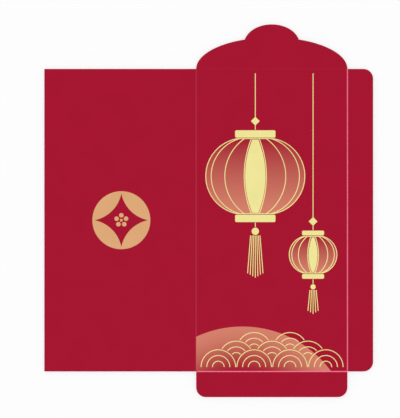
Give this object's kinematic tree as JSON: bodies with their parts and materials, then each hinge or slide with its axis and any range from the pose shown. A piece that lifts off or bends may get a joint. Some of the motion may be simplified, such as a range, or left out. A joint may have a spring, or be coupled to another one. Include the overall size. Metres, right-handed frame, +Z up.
{
  "type": "red envelope",
  "caption": "Flat die-cut paper gift envelope blank with foil-stamped front and back, a lobed top flap and scored creases that fold it into a pocket.",
  "frame": {"origin": "centre of the front panel's underside, on the surface that the blank lies on", "axes": "+X towards the side flap, +Y towards the top flap, +Z up from the printed side"},
  "size_m": [0.1793, 0.2033, 0.0003],
  "materials": {
    "red_coated_paper": "satin",
    "scored_paper": "satin",
    "dried_glue": "gloss",
    "rose_gold_foil": "satin",
    "pale_gold_foil": "satin"
  },
  "bodies": {
    "front": {"front_panel": "red_coated_paper", "back_crease": "scored_paper", "side_crease": "scored_paper", "bottom_crease": "scored_paper", "top_crease": "scored_paper", "large_lantern_foil": "pale_gold_foil", "small_lantern_foil": "pale_gold_foil", "lantern_panes_foil": "pale_gold_foil", "lantern_caps_foil": "pale_gold_foil", "lantern_cords_foil": "pale_gold_foil", "tassels_foil": "pale_gold_foil", "wave_foil": "pale_gold_foil"},
    "back": {"back_panel": "red_coated_paper", "seam_glue": "dried_glue", "coin_foil": "rose_gold_foil", "coin_blossom_foil": "rose_gold_foil"},
    "side": {"side_flap": "red_coated_paper"},
    "bottom": {"bottom_flap": "red_coated_paper", "bottom_glue": "dried_glue"},
    "top": {"top_flap": "red_coated_paper"}
  },
  "joints": [
    {"name": "side_fold", "type": "hinge", "parent": "front", "child": "side", "pos_m": [0.04125, 0, -0.00005], "axis": [0, 1, 0], "range_deg": [0, 179.98], "deforming": ["side_crease"]},
    {"name": "back_fold", "type": "hinge", "parent": "front", "child": "back", "pos_m": [-0.04125, 0, -0.00025], "axis": [0, -1, 0], "range_deg": [0, 179.98], "deforming": ["back_crease"]},
    {"name": "bottom_fold", "type": "hinge", "parent": "front", "child": "bottom", "pos_m": [0, -0.0825, -0.00045], "axis": [1, 0, 0], "range_deg": [0, 179.98], "deforming": ["bottom_crease"]},
    {"name": "top_fold", "type": "hinge", "parent": "front", "child": "top", "pos_m": [0, 0.0825, -0.00045], "axis": [-1, 0, 0], "range_deg": [0, 179.98], "deforming": ["top_crease"]}
  ]
}
